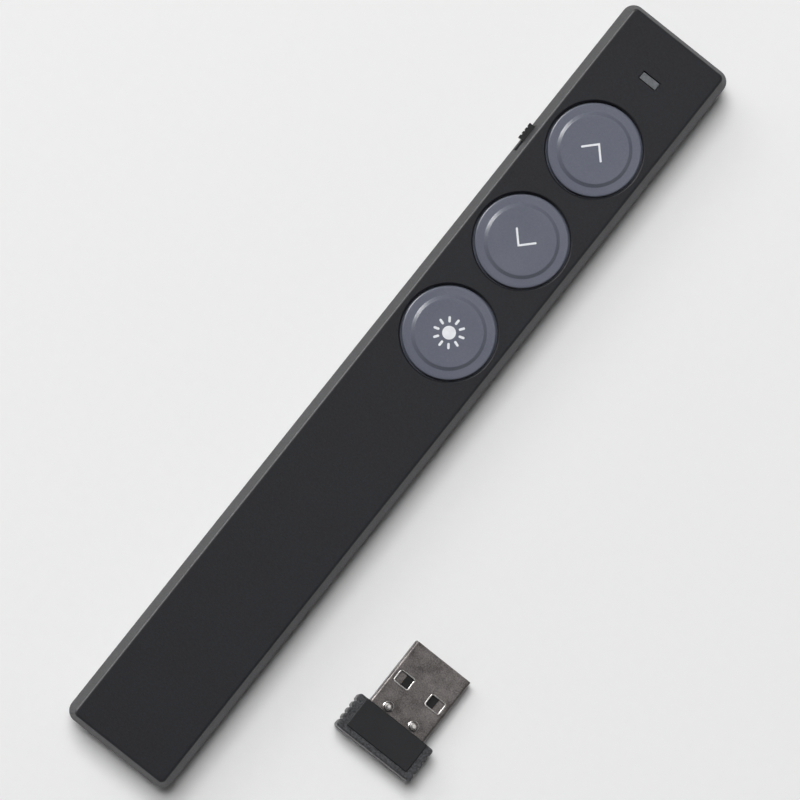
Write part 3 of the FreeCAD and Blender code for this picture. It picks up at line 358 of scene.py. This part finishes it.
# Points and faces of a profile turned about an upright axis; the profile is (radius, height) pairs
def turnProfile(profile, centre, steps):
    points = []
    faces = []
    for k in range(steps):
        turn = 2 * math.pi * k / steps
        for radius, height in profile:
            points.append(centre + Vector((radius * math.cos(turn), radius * math.sin(turn), height)))
    count = len(profile)
    for k in range(steps):
        here, there = k * count, (k + 1) % steps * count
        for i in range(count - 1):
            faces.append((here + i, there + i, there + i + 1, here + i + 1))
    return points, faces


# Arc of a profile or an outline, from one angle to another, in degrees from the first axis
def arcPoints(middle, radius, start, end, steps=5):
    points = []
    for k in range(steps + 1):
        turn = math.radians(start + (end - start) * k / steps)
        points.append((middle[0] + radius * math.cos(turn), middle[1] + radius * math.sin(turn)))
    return points


# Points and faces of a box between two corners
def boxMesh(low, high):
    points = [Vector((x, y, z)) for z in (low[2], high[2]) for y in (low[1], high[1])
              for x in (low[0], high[0])]
    faces = [(0, 2, 3, 1), (4, 5, 7, 6), (0, 1, 5, 4), (2, 6, 7, 3), (0, 4, 6, 2), (1, 3, 7, 5)]
    return points, faces


# Joins several lots of points and faces into one
def gather(lots):
    points = []
    faces = []
    for morePoints, moreFaces in lots:
        faces += [tuple(i + len(points) for i in face) for face in moreFaces]
        points += morePoints
    return points, faces


# Button caps. Heights are taken down from the top of the cap, radii in from the rim of its flange.
capShape = {"flangeInset": 0.6, "ringDrop": 0.5, "ringWidth": 1.65, "ringRound": 0.32, "ringCrown": 0.02,
            "discBevel": 0.4, "discRound": 0.22, "footRound": 0.1, "dish": 0.06, "flangeDrop": 2.35,
            "flangeHeight": 0.9, "flangeRound": 0.12, "wall": 1.2, "skin": 1.65, "postRadius": 1.4,
            "ribWidth": 0.8, "ribHeight": 1.2, "ribLap": 0.05, "tabWidth": 5.0, "tabDrop": 0.001}
capSteps = 180
dishSteps = 12


# The measures of one cap in metres, with its middle and its top
def capMeasures(button):
    low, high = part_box(button + "_button_cap")
    size = {key: value * mm for key, value in capShape.items()}
    size["middle"] = Vector(((low.x + high.x) / 2, (low.y + high.y) / 2, 0))
    size["top"] = high.z
    size["bottom"] = low.z
    size["flange"] = (high.x - low.x) / 2
    size["tabReach"] = (high.y - low.y) / 2
    size["ring"] = size["flange"] - size["flangeInset"]
    size["foot"] = size["ring"] - size["ringWidth"]
    size["rim"] = size["foot"] - size["discBevel"]
    return size


# Height of the dished top at a distance from the middle
def dishHeight(size, radius):
    return size["top"] - size["dish"] * (1 - min(radius / size["rim"], 1.0) ** 2)


# One button cap in one mesh: dished disc, bevel, ring, flange, stop tabs and ribs
def makeCap(button):
    size = capMeasures(button)
    top, ring, foot, rim = size["top"], size["ring"], size["foot"], size["rim"]
    ringTop = top - size["ringDrop"]
    flangeTop = top - size["flangeDrop"]
    flangeFoot = flangeTop - size["flangeHeight"]
    hollow = ring - size["wall"]
    ceiling = top - size["skin"]
    flat = rim - size["discRound"]
    profile = [(0, dishHeight(size, 0))]
    for k in range(1, dishSteps + 1):
        radius = flat * k / dishSteps
        profile.append((radius, dishHeight(size, radius)))
    profile += arcPoints((flat, top - size["discRound"]), size["discRound"], 75, 30)
    profile += arcPoints((foot + size["footRound"], ringTop + size["footRound"]),
                         size["footRound"], 215, 270)
    profile.append(((foot + ring) / 2, ringTop + size["ringCrown"] / 2))
    profile += arcPoints((ring - size["ringRound"], ringTop - size["ringRound"]),
                         size["ringRound"], 90, 0, steps=8)
    profile.append((ring, flangeTop))
    profile += arcPoints((size["flange"] - size["flangeRound"], flangeTop - size["flangeRound"]),
                         size["flangeRound"], 90, 0, steps=3)
    profile += [(size["flange"], flangeFoot), (hollow, flangeFoot), (hollow, ceiling),
                (size["postRadius"], ceiling), (size["postRadius"], size["bottom"]), (0, size["bottom"])]
    lots = [turnProfile(profile, size["middle"], capSteps)]
    half = size["tabWidth"] / 2
    edge = math.sqrt(size["flange"] ** 2 - half ** 2) - size["flangeRound"]
    for side in (-1, 1):       # stop tabs fore and aft
        ends = sorted((side * edge, side * size["tabReach"]))
        lots.append(boxMesh(size["middle"] + Vector((-half, ends[0], flangeFoot)),
                            size["middle"] + Vector((half, ends[1], flangeTop - size["tabDrop"]))))
    for turn in (0, 1):        # crossed ribs under the cap
        reach = [hollow, size["ribWidth"] / 2]
        if turn:
            reach.reverse()
        lots.append(boxMesh(size["middle"] + Vector((-reach[0], -reach[1], ceiling - size["ribHeight"])),
                            size["middle"] + Vector((reach[0], reach[1], ceiling + size["ribLap"]))))
    points, faces = gather(lots)
    cap = makePiece(button + "CapSkin", points, faces, finishes["button_plastic"], button + "_button")
    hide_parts(button + "_button_cap")
    return size


# Printed marks in mm: how far the ink stands up, how deep it is keyed in, its stroke, and where the
# chevrons and the sun's disc and rays lie from the middle of a cap
markShape = {"rise": 0.018, "keyed": 0.08, "stroke": 0.36, "arm": 2.2,
             "nextApex": 1.2, "nextEnd": -1.1, "backApex": -0.96, "backEnd": 1.3,
             "sunRadius": 1.2, "sunSides": 48, "rays": 10, "rayStart": 1.76, "rayEnd": 2.87,
             "rayWidth": 0.44}


# A flat shape given by its outline, laid on the dish of a cap; the outline is in mm from the middle
def inkPatch(size, outline):
    count = len(outline)
    points = []
    for height in (markShape["rise"] * mm, -markShape["keyed"] * mm):
        for x, y in outline:
            level = dishHeight(size, math.hypot(x, y) * mm) + height
            points.append(size["middle"] + Vector((x * mm, y * mm, level)))
    faces = [tuple(range(count)), tuple(range(2 * count - 1, count - 1, -1))]
    for i in range(count):
        j = (i + 1) % count
        faces.append((i, i + count, j + count, j))
    return points, faces


# Outline of a straight stroke with round ends, from one point to another
def strokeOutline(start, end, width, steps=8):
    heading = math.atan2(end[1] - start[1], end[0] - start[0])
    outline = []
    for centre, first in ((end, -90), (start, 90)):
        for k in range(steps + 1):
            turn = heading + math.radians(first + 180 * k / steps)
            outline.append((centre[0] + width / 2 * math.cos(turn),
                            centre[1] + width / 2 * math.sin(turn)))
    return outline


# Outline of a chevron with round ends and a sharp outer corner
def chevronOutline(apex, end, width, steps=8):
    arm = markShape["arm"]
    half = width / 2
    heading = math.atan2(end - apex, arm)
    lift = half / math.cos(heading)
    up = 1 if apex > end else -1
    outline = [(0, apex + up * lift)]
    for side in (1, -1):
        middle = (side * (arm - half * math.cos(heading)), end + up * half * abs(math.sin(heading)))
        turns = []
        for k in range(steps + 1):
            direction = heading + up * math.radians(90 - 180 * k / steps)
            turns.append((middle[0] + side * half * math.cos(direction),
                          middle[1] + half * math.sin(direction)))
        if side == 1:
            outline += turns + [(0, apex - up * lift)]
        else:
            outline += turns[::-1]
    return outline


# The printed mark of one cap: a sun for the laser, a chevron for the others
def makeMark(button, size):
    if button == "laser":
        sides = markShape["sunSides"]
        sun = arcPoints((0, 0), markShape["sunRadius"], 0, 360 - 360 / sides, sides - 1)
        lots = [inkPatch(size, sun)]
        for k in range(markShape["rays"]):
            turn = math.radians(90 + 360 * k / markShape["rays"])
            half = markShape["rayWidth"] / 2
            ends = [(r * math.cos(turn), r * math.sin(turn))
                    for r in (markShape["rayStart"] + half, markShape["rayEnd"] - half)]
            lots.append(inkPatch(size, strokeOutline(ends[0], ends[1], markShape["rayWidth"])))
    else:
        outline = chevronOutline(markShape[button + "Apex"], markShape[button + "End"],
                                 markShape["stroke"])
        lots = [inkPatch(size, outline)]
    points, faces = gather(lots)
    mark = makePiece(button + "PrintedMark", points, faces, inkFinish, button + "_button")


for button in ("next", "back", "laser"):
    makeMark(button, makeCap(button))
print("button caps and marks made")

# Each snap dome under a button is copied into a piece of its own, riding on the body that the button's
# joint hangs from, in place of the dome from the CAD.
for joint in frame["joints"]:
    if not joint["child"].endswith("_button"):
        continue
    domeNode = joint["child"].replace("_button", "_switch_dome")
    low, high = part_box(domeNode)
    dome = bpy.data.objects.new(joint["name"] + "Dome", nodes[domeNode].data.copy())
    bpy.context.scene.collection.objects.link(dome)
    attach(dome, joint["parent"])
    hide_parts(domeNode)
    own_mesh(dome)
print("snap domes made")

# Receiver details, in mm from the middle of the plug's tip: +Y out of the plug, +Z up
plug = next(mount for mount in frame["record"]["mounts"] if mount["name"] == "usb_plug")
tip = Vector(plug["pos_m"])
tilt = math.atan2(plug["axis"][2], plug["axis"][1])
toReceiver = Matrix.Translation(tip) @ Matrix.Rotation(tilt, 4, "X")
plugTop = 2.25           # upper face of the plug's shell


# Points and faces of stacked outlines, capped at both ends
def stackOutlines(layers):
    count = len(layers[0][0])
    points = [Vector((x, y, z)) * mm for outline, z in layers for x, y in outline]
    last = (len(layers) - 1) * count
    faces = [tuple(range(count - 1, -1, -1)), tuple(range(last, last + count))]
    for r in range(len(layers) - 1):
        for i in range(count):
            j = (i + 1) % count
            faces.append((r * count + i, r * count + j, (r + 1) * count + j, (r + 1) * count + i))
    return points, faces


# Rounded rectangle, as an outline
def padOutline(across, along, halfWide, halfLong, corner, steps=6):
    outline = []
    for cornerX, cornerY, first in ((1, 1, 0), (-1, 1, 90), (-1, -1, 180), (1, -1, 270)):
        middle = (across + cornerX * (halfWide - corner), along + cornerY * (halfLong - corner))
        outline += arcPoints(middle, corner, first, first + 90, steps)
    return outline


# Scene piece of the receiver, from lots of points and faces in its own frame
def makeReceiverPiece(name, lots, finish, smoothAngle=35):
    points, faces = gather(lots)
    piece = makePiece(name, [toReceiver @ p for p in points], faces, finish, "usb_receiver", smoothAngle)
    return piece


# Hood: a block with small corners, rounded edges and finger ridges down both sides, and a panel on
# it. The turns are the edges' steps, and a panel layer is its inset and its depth under the top.
hoodShape = {"halfWide": 8.2, "back": -20.5, "front": -13.4, "bottom": -3.5, "top": 3.25,
             "corner": 0.55, "leastCorner": 0.08, "edge": 0.35, "bottomTurns": (90, 60, 30, 0),
             "topTurns": (0, 20, 40, 60, 80), "sideSteps": 60, "ridgeStart": 0.9, "ridgePitch": 1.325,
             "ridges": 4, "ridgeDepth": 0.32, "ridgePower": 3, "panelHalf": 6.7, "panelBack": -19.4,
             "panelTop": 3.5, "panelCorner": 0.3,
             "panelLayers": ((0, 0.4), (0, 0.12), (0.04, 0.04), (0.14, 0))}


# Outline of the hood seen from above, drawn in by an inset
def hoodOutline(inset):
    shape = hoodShape
    half = shape["halfWide"] - inset
    back, front = shape["back"] + inset, shape["front"] - inset
    corner = max(shape["corner"] - inset, shape["leastCorner"])
    outline = []
    for side, first, last, start in ((1, back, front, -90), (-1, front, back, 90)):
        across = side * (half - corner)
        low, high = first + side * corner, last - side * corner
        outline += arcPoints((across, low), corner, start, start + 90)
        for k in range(1, shape["sideSteps"]):
            y = low + (high - low) * k / shape["sideSteps"]
            turn = (y - shape["back"] - shape["ridgeStart"]) / shape["ridgePitch"]
            wave = 0.0
            if 0 <= turn <= shape["ridges"]:
                crest = 0.5 + 0.5 * math.cos(2 * math.pi * (turn - 0.5))
                wave = shape["ridgeDepth"] * crest ** shape["ridgePower"]
            outline.append((side * (half - wave), y))
        outline += arcPoints((across, high), corner, start + 90, start + 180)
    return outline


layers = []
for level, turns, up in ((hoodShape["bottom"], hoodShape["bottomTurns"], 1),
                         (hoodShape["top"], hoodShape["topTurns"], -1)):
    for turn in turns:
        swing = math.radians(turn)
        outline = hoodOutline(hoodShape["edge"] * (1 - math.cos(swing)))
        layers.append((outline, level + up * hoodShape["edge"] * (1 - math.sin(swing))))
# The hood's sides take the etched ABS with its peaks painted pale as a painted glint
hood = makeReceiverPiece("ridgedHood", [stackOutlines(layers)], hoodGripPaintedGlintFinish,
                         smoothAngle=9)
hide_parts("receiver_hood")
panelLong = (hoodShape["front"] - hoodShape["panelBack"]) / 2
layers = []
for inset, drop in hoodShape["panelLayers"]:
    outline = padOutline(0, hoodShape["panelBack"] + panelLong, hoodShape["panelHalf"] - inset,
                         panelLong - inset, hoodShape["panelCorner"])
    layers.append((outline, hoodShape["panelTop"] - drop))
makeReceiverPiece("hoodPanel", [stackOutlines(layers)], finishes["hood_plastic"],
                  smoothAngle=15)

# Windows of the plug: a rounded stamped rim lies in each one's recess, given as steps out from the
# window and up from the plug's top. Behind it lie a folded steel tab on the outer side and the dark
# tongue carrier on the inner.
windowShape = {"across": 3.45, "back": -6.85, "halfWide": 1.4, "halfLong": 1.05, "corner": 0.28,
               "rimSteps": ((0.0, -0.22), (0.0, -0.03), (0.08, 0.02), (0.2, 0.02), (0.3, -0.05),
                            (0.3, -0.22)),
               "backingDrop": 0.42, "backingThick": 0.12, "backingHalfLong": 1.3,
               "tabReach": (0.1, 1.75), "carrierReach": (-1.75, 0.06)}
rimLots = []
for side in (-1, 1):
    layers = []
    for out, height in windowShape["rimSteps"]:
        outline = padOutline(side * windowShape["across"], windowShape["back"],
                             windowShape["halfWide"] + out, windowShape["halfLong"] + out,
                             windowShape["corner"] + out)
        layers.append((outline, plugTop + height))
    points, faces = stackOutlines(layers + layers[:1])
    rimLots.append((points, faces[2:]))
# The rims take the steel painted pale as a painted highlight
makeReceiverPiece("plugWindowRims", rimLots, paintedHighlightFinish)
for name, slotName, reach in (("plugWindowTabs", "plug_steel", windowShape["tabReach"]),
                              ("plugWindowCarriers", "tongue_plastic", windowShape["carrierReach"])):
    lots = []
    top = plugTop - windowShape["backingDrop"]
    for side in (-1, 1):
        across = sorted(side * windowShape["across"] + side * r for r in reach)
        low = Vector((across[0], windowShape["back"] - windowShape["backingHalfLong"],
                      top - windowShape["backingThick"]))
        high = Vector((across[1], windowShape["back"] + windowShape["backingHalfLong"], top))
        lots.append(boxMesh(low * mm, high * mm))
    makeReceiverPiece(name, lots, finishes[slotName])

# Pressed dimples: low domes in the steel painted pale as a painted highlight, with a curved nick toward
# the tip. The hub and the nick's place and width are shares of the radius, and the nick's turn and
# spread are in degrees.
dimpleShape = {"across": 2.8, "back": -12.25, "radius": 1.0, "rise": 0.27, "foot": 0.1, "hub": 0.002,
               "rings": 16, "steps": 56, "nickTurn": 60, "nickSpread": 62, "nickPlace": 0.62,
               "nickWidth": 0.13, "nickDepth": 0.15}


# Points and faces of the dimple on one side
def dimpleMesh(side):
    shape = dimpleShape
    rings, steps = shape["rings"], shape["steps"]
    points = []
    for r in range(rings + 1):
        part = r / rings
        radius = shape["radius"] * max(part, shape["hub"])
        nick = shape["nickDepth"] * math.exp(-((part - shape["nickPlace"]) / shape["nickWidth"]) ** 2)
        for k in range(steps):
            turn = 2 * math.pi * k / steps
            off = turn - math.radians(shape["nickTurn"])
            swing = math.degrees(math.atan2(math.sin(off), math.cos(off)))
            height = shape["rise"] * (1 - part ** 3)
            if abs(swing) < shape["nickSpread"]:
                height -= nick * math.cos(math.pi * swing / 2 / shape["nickSpread"]) ** 0.5
            points.append(Vector((side * shape["across"] + radius * math.cos(turn),
                                  shape["back"] + radius * math.sin(turn), plugTop + height)) * mm)
    base = len(points)
    points += [p - Vector((0, 0, shape["foot"] * mm)) for p in points[-steps:]]
    faces = [tuple(range(steps))]
    for r in range(rings + 1):
        for k in range(steps):
            j = (k + 1) % steps
            faces.append((r * steps + k, r * steps + j, (r + 1) * steps + j, (r + 1) * steps + k))
    faces.append(tuple(range(base + steps - 1, base - 1, -1)))
    return points, faces


makeReceiverPiece("plugDimples", [dimpleMesh(-1), dimpleMesh(1)], paintedHighlightFinish)
print("receiver details made")

# Plain pale floor a hair under everything; its reach and level are in metres
floorLook = {"reach": 3.0, "level": -0.00005, "colour": "#eeeeee", "cloudColour": "#f0f0f0",
             "fleckColour": "#ececec", "fleckShare": 0.3, "cloudSize": 300.0, "grainSize": 2.0,
             "grainDepth": 0.01, "relief": 0.05, "roughest": 0.95, "smoothest": 0.85, "ior": 1.3}
reach, level = floorLook["reach"], floorLook["level"]
corners = [(x * reach, y * reach, level) for x, y in ((-1, -1), (1, -1), (1, 1), (-1, 1))]
floorMesh = bpy.data.meshes.new("paperFloor")
floorMesh.from_pydata(corners, [], [(0, 1, 2, 3)])
floorMesh.materials.append(mouldedPlastic("mattPaper", floorLook))
floor = bpy.data.objects.new("paperFloor", floorMesh)
bpy.context.scene.collection.objects.link(floor)

# Soft light: a wide softbox and a glow beside it that light the scene, two cards that only show in
# reflections, and a surround that is pale at the horizon and dim above. Power is in watts, distance
# and width in metres, and the angles in degrees, round from +X and up from the floor.
surround = {"horizon": 0.85, "overhead": 0.05, "fadeEnd": 0.34}
lights = {
    "softbox": {"power": 50.0, "distance": 2.5, "width": 1.1, "elevation": 71, "azimuth": 137,
                "lit": True, "mirrored": False},
    "sideGlow": {"power": 15.0, "distance": 2.5, "width": 1.8, "elevation": 50, "azimuth": 160,
                 "lit": True, "mirrored": True},
    "noseCard": {"power": 0.55, "distance": 0.7, "width": 0.4, "elevation": 68, "azimuth": 50,
                 "lit": False, "mirrored": True},
    "leftCard": {"power": 110.0, "distance": 2.5, "width": 1.3, "elevation": 17, "azimuth": 178,
                 "lit": False, "mirrored": True},
}
world = bpy.data.worlds.new("studioSurround")
world.use_nodes = True
skyTree = world.node_tree
skyPlace = addNode(skyTree, "TexCoord").outputs["Generated"]
skyHeight = addNode(skyTree, "SeparateXYZ", {"Vector": skyPlace}).outputs["Z"]
skyFade = addNode(skyTree, "MapRange", {"Value": skyHeight, "From Min": 0.0,
                                        "From Max": surround["fadeEnd"],
                                        "To Min": surround["horizon"],
                                        "To Max": surround["overhead"]},
                  interpolation_type="SMOOTHSTEP")
backdrop = skyTree.nodes["Background"]
backdrop.inputs["Color"].default_value = (1, 1, 1, 1)
skyTree.links.new(skyFade.outputs["Result"], backdrop.inputs["Strength"])
bpy.context.scene.world = world
for name, look in lights.items():
    lamp = bpy.data.lights.new(name, "AREA")
    lamp.shape = "DISK"
    lamp.size = look["width"]
    lamp.energy = look["power"]
    lampObject = bpy.data.objects.new(name, lamp)
    rise = math.radians(look["elevation"])
    around = math.radians(look["azimuth"])
    aim = Vector((math.cos(rise) * math.cos(around), math.cos(rise) * math.sin(around), math.sin(rise)))
    lampObject.location = aim * look["distance"]
    lampObject.rotation_euler = aim.to_track_quat("Z", "Y").to_euler()
    lampObject.visible_diffuse = look["lit"]
    lampObject.visible_glossy = look["mirrored"]
    bpy.context.scene.collection.objects.link(lampObject)

# Camera at the photographed angle, found from the plug, the buttons and the bar's ends; its place and
# sensor are in mm, its clipping in metres
cameraLook = {"place": (-8.602, -22.119, 749.624), "turn": (0.01493, -0.02791, 0.67229),
              "lens": 190.968, "sensor": 36, "nearest": 0.01, "furthest": 20}
camera = bpy.data.cameras.new("camera")
camera.lens = cameraLook["lens"]
camera.sensor_width = cameraLook["sensor"]
camera.clip_start = cameraLook["nearest"]
camera.clip_end = cameraLook["furthest"]
cameraObject = bpy.data.objects.new("camera", camera)
cameraObject.location = Vector(cameraLook["place"]) * mm
cameraObject.rotation_euler = Euler(cameraLook["turn"])
bpy.context.scene.collection.objects.link(cameraObject)
bpy.context.scene.camera = cameraObject
bpy.context.scene.view_settings.view_transform = "Standard"
print("floor, light and camera set")
